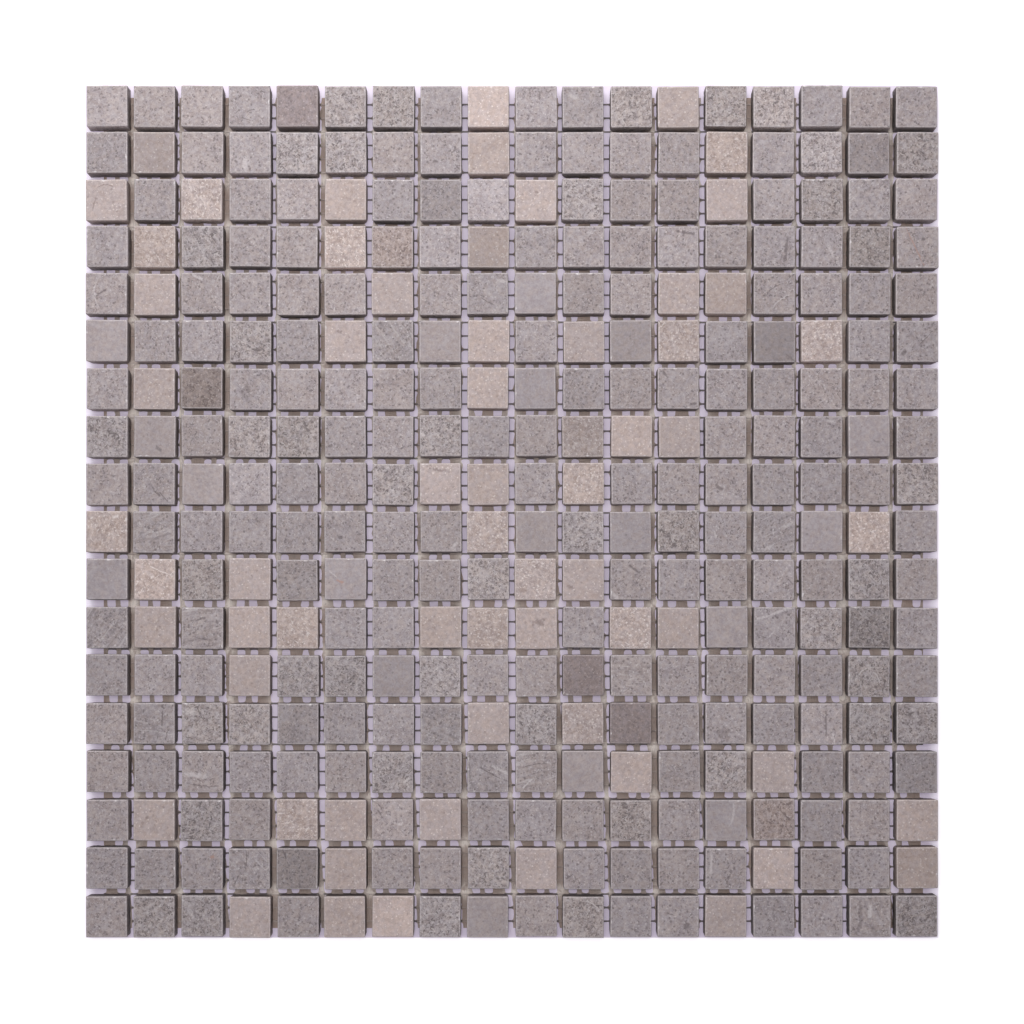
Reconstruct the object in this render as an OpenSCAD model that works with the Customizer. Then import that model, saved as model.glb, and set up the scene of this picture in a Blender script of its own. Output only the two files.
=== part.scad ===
// Mosaic tile sheet: square honed limestone chips, set a joint apart and glued to a glass-fibre net.
// The sheet lies flat on its net. The origin is the middle of the net's underside. +X runs along a
// course of chips, +Y runs from the bottom course to the top one, and +Z points out of the honed faces.

/* [Sheet] */
// Courses of chips, from the top of the sheet to the bottom
courses = 18; // [2:1:18]
// Chips in each course
chips_per_course = 18; // [2:1:24]
// Joint left open between neighbouring chips
joint_w = 2; // [1.4:0.1:4]

/* [Chips] */
// Side of a chip, seen from above
chip_side = 15; // [10:0.5:25]
// Thickness of a chip, from its sawn back to its honed face
chip_thick = 8; // [5:0.5:12]
// Eased edge round the honed face
arris = 0.35; // [0.1:0.05:0.8]
// Broken edge round the sawn back
back_break = 0.6; // [0.2:0.1:1.5]
// Flat across each upright corner, measured along a side
corner_ease = 0.5; // [0.2:0.1:1.2]

/* [Hand setting] */
// Most that a chip sits off its place, each way
place_play = 0.25; // [0:0.05:0.3]
// Most that a chip is turned from the lines of the sheet, in degrees
turn_play = 0.6; // [0:0.1:0.8]
// Most that a chip is sawn over or under its side
side_play = 0.12; // [0:0.02:0.2]
// How far the courses near the middle were pushed up the sheet, for each course that it has
course_push = 0.08; // [0:0.01:0.1]

/* [Net] */
// Thickness of the yarns that run up the sheet, which lie underneath
upright_thick = 0.2; // [0.1:0.05:0.5]
// Thickness of the cross yarns, which lie over them along the courses
cross_thick = 0.2; // [0.1:0.05:0.5]
// Width of a cross yarn
cross_yarn_w = 0.6; // [0.3:0.1:1.5]
// Width of the narrow yarns that run up the sheet
narrow_yarn_w = 1.6; // [0.8:0.1:3]
// Width of the wide yarns between them, flattened and soaked with glue
wide_yarn_w = 4; // [2:0.1:6]
// Opening between a narrow yarn and a wide one
opening_w = 3; // [1.5:0.1:6]
// Opening between two cross yarns
opening_l = 4.3; // [2:0.1:8]
// Distance from the left edge of the net to the middle of its first whole wide yarn
first_yarn_in = 10.7; // [5:0.1:20]
// How far the yarns that run up the sheet stray to the right by its bottom edge
yarn_stray = 4.8; // [0:0.2:8]

/* [Net edges] */
// Distance from the left edge of the chips in to the net
net_in_left = 5; // [1:0.5:7]
// Distance from the right edge of the chips in to the net
net_in_right = 4; // [1:0.5:7]
// Least distance from the top and bottom edges of the chips in to the net
net_in_ends = 2.5; // [1:0.5:7]
// Cross yarns in each band that the net is divided into
yarns_per_band = 7; // [4:1:10]

/* [Hidden] */
chip_pitch = chip_side + joint_w;
sheet_w = chips_per_course * chip_pitch - joint_w;
sheet_d = courses * chip_pitch - joint_w;
net_thick = upright_thick + cross_thick;
cross_pitch = opening_l + cross_yarn_w;
pair_pitch = narrow_yarn_w + wide_yarn_w + 2 * opening_w;
cross_yarns = floor((sheet_d - 2 * net_in_ends) / cross_pitch);
net_left = -sheet_w / 2 + net_in_left;
net_w = sheet_w - net_in_left - net_in_right;
net_bottom = -cross_yarns * cross_pitch / 2;
net_bands = ceil(cross_yarns / yarns_per_band);
pairs_before_first = ceil((first_yarn_in + yarn_stray) / pair_pitch) + 1;
pairs_after_first = ceil((net_w - first_yarn_in) / pair_pitch) + 1;
plays_per_chip = 4;
row_seed_step = 100;
push_skew = 0.8;

function two_digits(n) = str(n < 10 ? "0" : "", n);
function chip_row_name(row) = str("chip_row_", two_digits(row));
function net_band_name(band) = str("net_band_", two_digits(band));

// How a chip was set by hand: shares from -1 to 1 of the play along X, along Y, in turn and in side.
function chip_plays(row, place) = rands(-1, 1, plays_per_chip, row * row_seed_step + place);

// How far a course was pushed up the sheet. The joints close up above the course that moved most, and
// open below it, and the first and last courses stay at the edges.
function push_of(row) =
    course_push * courses * sin(180 * pow((row - 1) / (courses - 1), push_skew));

// Sideways stray of an upright yarn at height y. It starts at the middle and grows to the bottom.
function stray_at(y) = yarn_stray * pow(max(0, -y) / (sheet_d / 2), 2);

// Side view of a chip, with the eased edge at the top and the broken one at the bottom.
module chip_profile(side) {
    half = side / 2;
    polygon([
        [-half + back_break, 0],
        [half - back_break, 0],
        [half, back_break],
        [half, chip_thick - arris],
        [half - arris, chip_thick],
        [-half + arris, chip_thick],
        [-half, chip_thick - arris],
        [-half, back_break]
    ]);
}

// Top view of a chip, with a flat across each corner.
module chip_plan(side) {
    half = side / 2;
    flat = half - corner_ease;
    polygon([
        [-flat, -half], [flat, -half],
        [half, -flat], [half, flat],
        [flat, half], [-flat, half],
        [-half, flat], [-half, -flat]
    ]);
}

// One chip with its back at z = 0: what the two side views and the top view have in common.
module chip(side) {
    intersection() {
        rotate([90, 0, 0]) linear_extrude(height = side, center = true) chip_profile(side);
        rotate([90, 0, 90]) linear_extrude(height = side, center = true) chip_profile(side);
        linear_extrude(height = chip_thick) chip_plan(side);
    }
}

// One course of chips, set by hand on top of the net. Row 1 is at the top of the sheet.
module chip_row(row) {
    color("rosybrown") for (place = [1:chips_per_course]) {
        plays = chip_plays(row, place);
        x = (place - 1) * chip_pitch - sheet_w / 2 + chip_side / 2 + plays[0] * place_play;
        y = sheet_d / 2 - chip_side / 2 - (row - 1) * chip_pitch + push_of(row) + plays[1] * place_play;
        translate([x, y, net_thick])
            rotate([0, 0, plays[2] * turn_play])
                chip(chip_side + plays[3] * side_play);
    }
}

// An upright yarn between two heights, slanted by its stray.
module upright_yarn(middle, width, bottom, top) {
    low = middle + stray_at(bottom);
    high = middle + stray_at(top);
    polygon([
        [low - width / 2, bottom], [low + width / 2, bottom],
        [high + width / 2, top], [high - width / 2, top]
    ]);
}

// The upright yarns of a band between two heights, cut to the sides of the net.
module upright_yarns(bottom, top) {
    linear_extrude(height = upright_thick) intersection() {
        translate([net_left, bottom]) square([net_w, top - bottom]);
        union() for (pair = [-pairs_before_first:pairs_after_first]) {
            wide_middle = net_left + first_yarn_in + pair * pair_pitch;
            upright_yarn(wide_middle, wide_yarn_w, bottom, top);
            upright_yarn(wide_middle + pair_pitch / 2, narrow_yarn_w, bottom, top);
        }
    }
}

// One band of the net: cross yarns laid over upright ones, and fused with them where they cross.
// Band 1 is at the bottom. Neighbouring bands meet halfway between two cross yarns.
module net_band(band) {
    first_cross = (band - 1) * yarns_per_band;
    crosses = min(yarns_per_band, cross_yarns - first_cross);
    bottom = net_bottom + first_cross * cross_pitch;
    color("tan") {
        upright_yarns(bottom, bottom + crosses * cross_pitch);
        for (cross = [1:crosses])
            translate([net_left, bottom + (cross - 0.5) * cross_pitch - cross_yarn_w / 2, upright_thick])
                cube([net_w, cross_yarn_w, cross_thick]);
    }
}

for (row = [1:courses])
    chip_row(row);
for (band = [1:net_bands])
    net_band(band);
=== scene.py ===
"""Mosaic tile sheet: honed limestone chips glued a joint apart to a glass-fibre net.

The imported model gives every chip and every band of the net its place. This script cuts each chip again on
that place, with its broken back and worn arris, lays the yarns of the net with their glue, gives both their
finishes, and lights the sheet as it lies on a pale floor. Sizes are in millimetres unless a name says metres.
"""
import logging
import math
import random
from collections.abc import Iterable, Mapping, Sequence
from dataclasses import dataclass, field
from enum import Enum

import bmesh
import bpy
import numpy as np
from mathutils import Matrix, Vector, noise


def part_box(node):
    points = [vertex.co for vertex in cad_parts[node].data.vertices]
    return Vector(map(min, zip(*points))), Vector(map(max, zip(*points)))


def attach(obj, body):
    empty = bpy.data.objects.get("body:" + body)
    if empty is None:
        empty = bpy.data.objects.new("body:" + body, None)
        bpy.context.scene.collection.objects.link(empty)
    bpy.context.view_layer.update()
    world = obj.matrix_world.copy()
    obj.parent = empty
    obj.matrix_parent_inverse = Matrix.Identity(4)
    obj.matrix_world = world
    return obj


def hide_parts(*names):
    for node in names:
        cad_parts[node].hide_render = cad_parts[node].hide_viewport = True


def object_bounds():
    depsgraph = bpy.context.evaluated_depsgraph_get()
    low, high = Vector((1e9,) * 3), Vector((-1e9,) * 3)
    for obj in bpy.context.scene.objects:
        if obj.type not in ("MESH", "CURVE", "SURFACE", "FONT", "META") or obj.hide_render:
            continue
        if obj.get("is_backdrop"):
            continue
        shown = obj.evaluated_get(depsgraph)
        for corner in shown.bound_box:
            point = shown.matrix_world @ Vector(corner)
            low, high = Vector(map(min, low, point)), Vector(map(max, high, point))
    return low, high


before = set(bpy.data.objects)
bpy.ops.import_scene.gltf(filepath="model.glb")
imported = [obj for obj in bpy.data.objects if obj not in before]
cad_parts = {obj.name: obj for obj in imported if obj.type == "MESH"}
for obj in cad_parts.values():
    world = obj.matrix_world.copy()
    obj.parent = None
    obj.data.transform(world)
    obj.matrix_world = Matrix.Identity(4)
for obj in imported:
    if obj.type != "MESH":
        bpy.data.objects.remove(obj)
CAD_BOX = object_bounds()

LOG = logging.getLogger("mosaic_sheet")
MM = 0.001
BODY = "root"
SHARP_DEG = 38

Socket = bpy.types.NodeSocket
Solid = bmesh.types.BMesh
Layers = Mapping[str, object]
Colour = tuple[float, float, float]
Value = Socket | float


class StoneKind(Enum):
    """The sorts of limestone that the chips were sawn from."""

    FOSSIL_GREY = "fossil grey"
    WARM_BEIGE = "warm beige"
    MOTTLED_BEIGE = "mottled beige"
    COARSE_GREY = "coarse grey"
    SMOOTH_GREY = "smooth grey"
    STREAKED_GREY = "streaked grey"
    DARK_BROWN = "dark brown"
    RED_SPECKLED = "red speckled"


class Shade(Enum):
    """How light a chip is beside others of its sort."""

    LIGHTER = 1.14
    PLAIN = 1.0
    DARKER = 0.86
    DARKEST = 0.74


NICKED: Colour = (0.80, 0.77, 0.765)
RUST: Colour = (0.40, 0.27, 0.235)
WARMER: Colour = (1.03, 1.0, 0.95)
COLDER: Colour = (0.98, 0.997, 1.018)

Places = Mapping[int, tuple[int, ...]]

NOTED_KINDS: Mapping[StoneKind, Places] = {
    StoneKind.STREAKED_GREY: {
        3: (17,), 6: (7,), 10: (2, 15), 12: (1, 3), 13: (12,), 14: (2, 8), 15: (9, 10), 17: (4,), 18: (17,),
    },
    StoneKind.DARK_BROWN: {1: (5,), 13: (11,), 14: (12,)},
    StoneKind.RED_SPECKLED: {4: (7,), 7: (3,), 16: (15,)},
}

# The mix that each other chip's sort and every chip's shade are drawn from. The shares of a mix add up to 1.
KIND_SHARES: Mapping[StoneKind, float] = {
    StoneKind.FOSSIL_GREY: 0.55,
    StoneKind.WARM_BEIGE: 0.21,
    StoneKind.MOTTLED_BEIGE: 0.06,
    StoneKind.COARSE_GREY: 0.11,
    StoneKind.SMOOTH_GREY: 0.07,
}
SHADE_SHARES: Mapping[Shade, float] = {
    Shade.LIGHTER: 0.07,
    Shade.PLAIN: 0.86,
    Shade.DARKER: 0.06,
    Shade.DARKEST: 0.01,
}
KIND_SEED = 20_000
SHADE_SEED = 40_000
SEEDS_PER_COURSE = 100

# How light the sawn sides are beside the honed face: they are painted darker by a random amount, painted
# shade. The front ones, which face -Y, are painted lighter, painted light from that side, and vary most.
SIDE_PAINTED_SHADE_AND_TONE = (0.5, 1.0)
FRONT_PAINTED_LIGHT_AND_TONE = 0.85
FRONT_PAINTED_LIGHT_RANGE = 2.2
FRONT_PAINTED_LIGHT_BIAS = 1.15


class MarkTone(Enum):
    """What a single mark in a chip is made of."""

    DARK = -0.8
    FAINT = -0.4
    PALE = 0.8
    RUSTY = 2.0


DARK, FAINT, PALE, RUSTY = MarkTone


@dataclass(frozen=True)
class Mark:
    """One vein, crack or spot that a chip is known by.

    It is placed from the chip's middle in millimetres, and its bend makes a bow of it.
    """

    tone: MarkTone
    x: float
    y: float
    turn_deg: float
    length: float
    width: float
    bend: float = 0.0

    def seen_from(self, plan: np.ndarray) -> np.ndarray:
        """Measure points of the chip along the mark and across it.

        Args:
            plan: The points, from the chip's middle.

        Returns:
            For each point, the distance along and across and the bend.
        """
        turn = math.radians(self.turn_deg)
        along = (plan[:, 0] - self.x) * math.cos(turn) + (plan[:, 1] - self.y) * math.sin(turn)
        across = (plan[:, 1] - self.y) * math.cos(turn) - (plan[:, 0] - self.x) * math.sin(turn)
        return np.column_stack((along, across, np.full(len(plan), self.bend)))


MARKS_PER_CHIP = 2
MARKS: Mapping[tuple[int, int], tuple[Mark, ...]] = {
    (1, 4): (Mark(DARK, 0.9, -1.2, 10, 4.0, 0.4, -0.22), Mark(DARK, -0.5, -4.8, -15, 4.0, 0.35)),
    (1, 11): (Mark(PALE, -3.6, 3.6, -30, 3.6, 1.2),),
    (1, 15): (Mark(DARK, -4.4, 0.0, -45, 5.0, 0.35),),
    (2, 4): (Mark(PALE, -1.8, -4.0, 85, 5.5, 1.8),),
    (2, 8): (Mark(DARK, 4.6, 1.0, 35, 3.2, 0.9), Mark(DARK, -1.8, -2.8, 0, 1.8, 0.8)),
    (2, 14): (Mark(DARK, 1.2, -1.4, 35, 1.9, 1.1),),
    (2, 18): (Mark(DARK, 0.0, 6.0, -15, 3.4, 0.7),),
    (3, 1): (Mark(DARK, -0.2, 5.4, 0, 8.5, 0.35, -0.11), Mark(DARK, -4.2, -1.0, 75, 5.5, 0.35)),
    (3, 3): (Mark(DARK, 4.9, -0.3, 0, 2.6, 0.9),),
    (3, 10): (Mark(DARK, 0.0, 2.9, 0, 1.4, 1.0),),
    (4, 3): (Mark(DARK, -4.0, -2.6, 30, 1.8, 0.6),),
    (4, 13): (Mark(DARK, 3.0, 5.0, -8, 7.0, 1.0),),
    (4, 15): (Mark(DARK, 4.0, -1.8, 85, 8.0, 1.1),),
    (4, 16): (Mark(PALE, 3.1, -1.4, -65, 5.0, 0.9),),
    (4, 17): (Mark(PALE, 0.8, 1.2, 20, 1.4, 0.7), Mark(PALE, -4.2, -2.7, 0, 1.2, 0.6)),
    (4, 18): (Mark(RUSTY, -1.1, 0.3, -65, 13.8, 0.3), Mark(DARK, 2.0, 2.9, 0, 1.6, 1.0)),
    (5, 1): (Mark(PALE, -4.3, 0.5, 90, 11.5, 0.4, -0.06), Mark(DARK, -2.2, 0.1, 35, 4.2, 0.5, -0.06)),
    (5, 3): (Mark(PALE, -1.4, 5.6, -25, 4.6, 0.8), Mark(PALE, 6.2, 6.0, 60, 3.0, 0.4)),
    (5, 4): (Mark(DARK, -3.0, -0.3, -45, 2.6, 0.4), Mark(DARK, 4.7, 0.4, -35, 3.4, 0.35)),
    (5, 9): (Mark(PALE, 5.5, 4.2, -12, 4.2, 1.0), Mark(DARK, 0.0, -3.0, -30, 7.0, 0.35, 0.03)),
    (5, 15): (Mark(DARK, -1.0, 1.5, 40, 8.0, 0.3, -0.06), Mark(PALE, 2.5, -2.0, 35, 8.0, 0.4, -0.05)),
    (6, 6): (Mark(DARK, -2.1, 3.3, -20, 2.2, 1.0),),
    (6, 18): (Mark(DARK, -5.0, -4.2, 0, 2.0, 1.9), Mark(DARK, 3.8, 2.1, 50, 7.0, 0.3)),
    (7, 4): (Mark(FAINT, -1.4, -0.8, 80, 6.0, 2.4),),
    (7, 6): (Mark(DARK, 1.0, 0.7, 45, 1.6, 0.6), Mark(DARK, -5.3, -4.0, 0, 1.2, 0.7)),
    (7, 8): (Mark(DARK, 5.0, -0.8, 90, 5.0, 0.4, 0.06),),
    (7, 13): (Mark(DARK, 5.0, -5.6, 10, 4.0, 1.0), Mark(DARK, -4.5, 4.8, -40, 3.0, 0.8)),
    (7, 16): (Mark(DARK, -2.1, -4.3, 0, 1.6, 0.7),),
    (8, 1): (Mark(DARK, 1.5, 1.2, -12, 4.6, 1.0), Mark(DARK, -5.5, 2.4, 80, 3.0, 1.0)),
    (8, 2): (Mark(DARK, 1.5, -4.4, -30, 2.6, 1.2),),
    (8, 5): (Mark(DARK, 2.9, 3.3, -65, 4.0, 0.8),),
    (8, 6): (Mark(DARK, -5.6, -3.4, 0, 1.8, 1.0),),
    (8, 16): (Mark(PALE, 3.1, 5.6, -10, 3.4, 0.9),),
    (8, 17): (Mark(DARK, 2.4, -2.0, -20, 3.0, 0.6),),
    (9, 2): (Mark(DARK, 0.6, -3.0, -50, 6.5, 0.35, 0.05), Mark(DARK, 3.0, -4.2, -50, 4.5, 0.3)),
    (9, 8): (Mark(DARK, -0.5, 4.8, -8, 6.5, 0.9),),
    (9, 14): (Mark(DARK, -2.6, -1.2, -20, 3.8, 1.3),),
    (10, 1): (Mark(PALE, 3.3, 5.4, 20, 2.6, 1.1),),
    (10, 6): (Mark(DARK, -1.7, -2.3, 0, 1.6, 1.1), Mark(DARK, -3.9, 5.0, 0, 1.3, 0.6)),
    (10, 8): (Mark(PALE, 4.7, -5.1, 40, 3.4, 1.0),),
    (10, 13): (Mark(DARK, -1.6, -5.1, 0, 1.8, 1.5),),
    (10, 14): (Mark(PALE, -4.0, -0.6, -75, 2.8, 0.5),),
    (11, 2): (Mark(PALE, 2.0, 3.0, -22, 9.0, 0.3),),
    (11, 6): (Mark(RUSTY, -1.8, -0.8, -30, 2.6, 1.0), Mark(PALE, -4.4, 1.6, -40, 4.5, 0.5)),
    (11, 11): (Mark(DARK, -4.5, -2.5, 0, 1.7, 1.2),),
    (11, 12): (Mark(DARK, 1.0, 3.8, -35, 6.5, 0.7), Mark(PALE, -5.9, -5.6, -50, 4.4, 1.2)),
    (12, 3): (Mark(DARK, -1.3, 3.1, 15, 4.4, 0.7), Mark(DARK, 0.5, -4.0, -10, 9.0, 0.3, 0.03)),
    (12, 10): (Mark(DARK, 0.8, 2.0, 0, 4.4, 2.2),),
    (12, 15): (Mark(PALE, 0.0, 5.2, 20, 12.0, 0.9), Mark(PALE, -1.0, -2.0, 50, 4.0, 0.4)),
    (13, 17): (Mark(PALE, -1.5, 2.5, 30, 8.0, 0.4, -0.09), Mark(PALE, 3.0, 0.0, -60, 6.0, 0.4, -0.07)),
    (14, 1): (Mark(DARK, 3.8, 1.3, 38, 6.8, 0.4, 0.05), Mark(FAINT, -3.5, 1.5, 50, 8.0, 0.5, -0.05)),
    (14, 2): (Mark(DARK, 2.9, 2.4, 88, 9.5, 0.6), Mark(DARK, 4.6, -3.5, 80, 6.0, 0.3)),
    (14, 3): (Mark(PALE, -4.2, 4.0, 0, 3.6, 2.0),),
    (14, 14): (Mark(FAINT, -1.2, -3.6, 0, 6.0, 3.6),),
    (14, 16): (Mark(PALE, 4.2, -5.0, 100, 4.6, 0.5), Mark(DARK, 1.5, 1.0, 90, 12.0, 0.5)),
    (15, 3): (Mark(PALE, -3.2, -1.2, -8, 9.5, 1.6, 0.01), Mark(DARK, 0.0, -5.0, -5, 12.0, 0.4, 0.01)),
    (15, 7): (Mark(PALE, 4.8, -2.9, 30, 2.8, 0.7), Mark(DARK, 4.0, -1.4, 60, 2.4, 0.5)),
    (15, 9): (Mark(DARK, 1.5, -0.9, -28, 12.5, 0.4, 0.01), Mark(PALE, 4.6, 0.6, -28, 6.5, 0.9)),
    (15, 10): (Mark(PALE, -3.0, -4.0, 45, 6.5, 0.6, -0.04), Mark(DARK, 0.0, 2.7, 8, 9.0, 0.35, -0.03)),
    (16, 2): (Mark(DARK, -2.7, 0.9, 0, 1.5, 1.1),),
    (16, 7): (Mark(PALE, 2.7, -1.5, 0, 1.9, 1.1), Mark(DARK, -4.5, 2.5, -60, 3.4, 0.8)),
    (16, 14): (Mark(PALE, 2.7, 2.0, 80, 8.0, 0.8, 0.04),),
    (16, 15): (Mark(DARK, 3.6, 2.0, -50, 8.5, 0.9), Mark(DARK, 4.4, 5.6, 0, 3.0, 0.7)),
    (17, 3): (Mark(RUSTY, 3.6, 4.2, 20, 1.5, 0.8),),
    (17, 4): (Mark(DARK, -1.0, 3.2, 88, 7.5, 0.45, 0.03), Mark(DARK, -4.7, -4.0, 65, 5.5, 0.5, -0.04)),
    (17, 5): (Mark(DARK, -4.2, 4.0, -68, 6.5, 0.4), Mark(DARK, 1.0, -1.4, 5, 5.5, 0.35, 0.03)),
    (17, 14): (Mark(PALE, -5.3, 2.2, 88, 10.0, 0.9), Mark(DARK, 0.9, -3.2, 68, 6.5, 0.6, -0.05)),
    (18, 11): (Mark(PALE, 3.0, 5.0, -28, 6.0, 0.5, -0.07),),
    (18, 13): (Mark(DARK, 3.1, -3.4, 20, 2.4, 1.5), Mark(DARK, -2.4, 0.8, -10, 3.4, 0.4)),
    (18, 17): (Mark(PALE, 0.0, 2.2, 90, 5.0, 1.4), Mark(FAINT, -3.6, 0.0, 90, 11.0, 1.6)),
}


def among(places: Places, course: int, place: int) -> bool:
    """Say whether a chip is in a list of places."""
    return place in places.get(course, ())


@dataclass(frozen=True)
class ChipPlace:
    """Where one chip was set, and what it was sawn from.

    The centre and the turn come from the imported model. Courses count from the top of the sheet and places
    from its left.
    """

    course: int
    place: int
    x: float
    y: float
    turn: float
    side: float

    def kind(self) -> StoneKind:
        """Return the sort of limestone of this chip.

        Returns:
            The sort that was noted for it, or else one drawn from the mix.
        """
        for kind, places in NOTED_KINDS.items():
            if among(places, self.course, self.place):
                return kind
        return self._drawn(KIND_SHARES, KIND_SEED)

    def shade(self) -> float:
        """Return how light this chip is beside others of its sort."""
        return self._drawn(SHADE_SHARES, SHADE_SEED).value

    def _drawn(self, shares: Mapping[Enum, float], seed: int) -> Enum:
        """Draw one member of a mix for this chip.

        Args:
            shares: The share of each member.
            seed: The seed of this mix.

        Returns:
            The member drawn, the same each time.
        """
        draw = random.Random(seed + SEEDS_PER_COURSE * self.course + self.place)
        return draw.choices(tuple(shares), tuple(shares.values()))[0]

    def marks(self) -> tuple[Mark, ...]:
        """Return the marks that this chip is known by."""
        return MARKS.get((self.course, self.place), ())


class NodeGraph:
    """The node tree of one material or world, built node by node."""

    def __init__(self, owner: bpy.types.Material | bpy.types.World) -> None:
        """Clear the owner's tree.

        Args:
            owner: The material or the world to build.
        """
        owner.use_nodes = True
        self.owner = owner
        self.tree = owner.node_tree
        self.tree.nodes.clear()

    def node(self, kind: str, **settings: object) -> bpy.types.Node:
        """Add a node.

        Args:
            kind: The node's Blender type.
            settings: Properties to set on it.

        Returns:
            The new node.
        """
        made = self.tree.nodes.new(kind)
        for name, value in settings.items():
            setattr(made, name, value)
        return made

    def feed(self, socket: Socket, value: Value | Sequence[float]) -> None:
        """Link a socket to another, or write a plain value on it.

        Args:
            socket: The input to feed.
            value: An output socket, a number or a tuple of numbers.
        """
        if isinstance(value, Socket):
            self.tree.links.new(value, socket)
        else:
            socket.default_value = value

    def attribute(self, name: str, vector: bool = False) -> Socket:
        """Read a value that the mesh carries.

        Args:
            name: The attribute's name.
            vector: Whether it is a vector and not a number.

        Returns:
            The value's socket.
        """
        made = self.node("ShaderNodeAttribute", attribute_name=name)
        return made.outputs["Vector" if vector else "Fac"]

    def math(self, operation: str, a: Value, b: Value = 0.0, clamp: bool = False) -> Socket:
        """Combine two numbers.

        Args:
            operation: The kind of sum.
            a: The first number.
            b: The second number.
            clamp: Whether the result is held between 0 and 1.

        Returns:
            The result's socket.
        """
        made = self.node("ShaderNodeMath", operation=operation, use_clamp=clamp)
        self.feed(made.inputs[0], a)
        self.feed(made.inputs[1], b)
        return made.outputs[0]

    def stretched(self, at: Socket, by: Sequence[float]) -> Socket:
        """Multiply a place by a scale along each axis.

        Args:
            at: The place.
            by: The three scales.

        Returns:
            The stretched place.
        """
        made = self.node("ShaderNodeVectorMath", operation="MULTIPLY")
        self.feed(made.inputs[0], at)
        self.feed(made.inputs[1], by)
        return made.outputs[0]

    def noise(
        self, at: Socket, grain_mm: float, detail: float = 2.0, rough: float = 0.5, swirl: float = 0.0
    ) -> Socket:
        """Add clouds of a given size.

        Args:
            at: The place, in millimetres.
            grain_mm: Size of the largest clouds.
            detail: Number of finer layers.
            rough: Weight of the finer layers.
            swirl: How much the clouds are twisted.

        Returns:
            A number round 0.5.
        """
        made = self.node("ShaderNodeTexNoise", noise_dimensions="3D")
        self.feed(made.inputs["Vector"], at)
        made.inputs["Scale"].default_value = 1.0 / grain_mm
        made.inputs["Detail"].default_value = detail
        made.inputs["Roughness"].default_value = rough
        made.inputs["Distortion"].default_value = swirl
        return made.outputs["Fac"]

    def jittered(self, at: Socket, grain_mm: float, by_mm: float) -> Socket:
        """Push a place about by fine clouds, so that round shapes turn irregular.

        Args:
            at: The place.
            grain_mm: Size of the clouds.
            by_mm: How far they push.

        Returns:
            The new place.
        """
        clouds = self.noise(at, grain_mm, 1.0, 0.5).node.outputs["Color"]
        made = self.node("ShaderNodeVectorMath", operation="MULTIPLY_ADD")
        self.feed(made.inputs[0], clouds)
        made.inputs[1].default_value = (by_mm, by_mm, by_mm)
        self.feed(made.inputs[2], at)
        return made.outputs[0]

    def specks(self, at: Socket, pitch_mm: float, reach: float, kept: float) -> Socket:
        """Scatter small round spots of different sizes.

        Args:
            at: The place.
            pitch_mm: Rough distance between two spots.
            reach: Radius of the largest, as a share of the pitch.
            kept: Share of the spots that are kept.

        Returns:
            1 within a spot and 0 outside.
        """
        made = self.node("ShaderNodeTexVoronoi", voronoi_dimensions="3D", feature="F1")
        self.feed(made.inputs["Vector"], at)
        made.inputs["Scale"].default_value = 1.0 / pitch_mm
        inside = self.math("SUBTRACT", 1.0, self.step(made.outputs["Distance"], reach * 0.55, reach))
        chance = self.node("ShaderNodeSeparateColor")
        self.feed(chance.inputs[0], made.outputs["Color"])
        return self.math("MULTIPLY", inside, self.step(chance.outputs[0], 0.95 - kept, 1.05 - kept))

    def step(self, value: Value, low: float, high: float) -> Socket:
        """Rise smoothly from 0 to 1.

        Args:
            value: The number to read.
            low: Where the rise starts.
            high: Where it ends.

        Returns:
            A number from 0 to 1.
        """
        made = self.node("ShaderNodeMapRange", interpolation_type="SMOOTHSTEP")
        self.feed(made.inputs["Value"], value)
        made.inputs["From Min"].default_value = low
        made.inputs["From Max"].default_value = high
        return made.outputs["Result"]

    def mix(self, share: Value, a: Value | Colour, b: Value | Colour, blend: str = "MIX") -> Socket:
        """Mix two colours.

        Args:
            share: Share of the second colour.
            a: The first colour or its socket.
            b: The second colour or its socket.
            blend: How they are mixed.

        Returns:
            The mixed colour.
        """
        made = self.node("ShaderNodeMix", data_type="RGBA", blend_type=blend)
        self.feed(made.inputs[0], share)
        for socket, value in ((made.inputs[6], a), (made.inputs[7], b)):
            self.feed(socket, value if isinstance(value, Socket) else (*value, 1.0))
        return made.outputs[2]

    def bump(self, height: Socket, depth_mm: float, strength: float) -> Socket:
        """Add relief.

        Args:
            height: The relief, from 0 to 1.
            depth_mm: Its depth.
            strength: Share of the relief that is kept.

        Returns:
            The bent normal.
        """
        made = self.node("ShaderNodeBump")
        made.inputs["Strength"].default_value = strength
        made.inputs["Distance"].default_value = depth_mm * MM
        self.feed(made.inputs["Height"], height)
        return made.outputs["Normal"]


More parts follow.
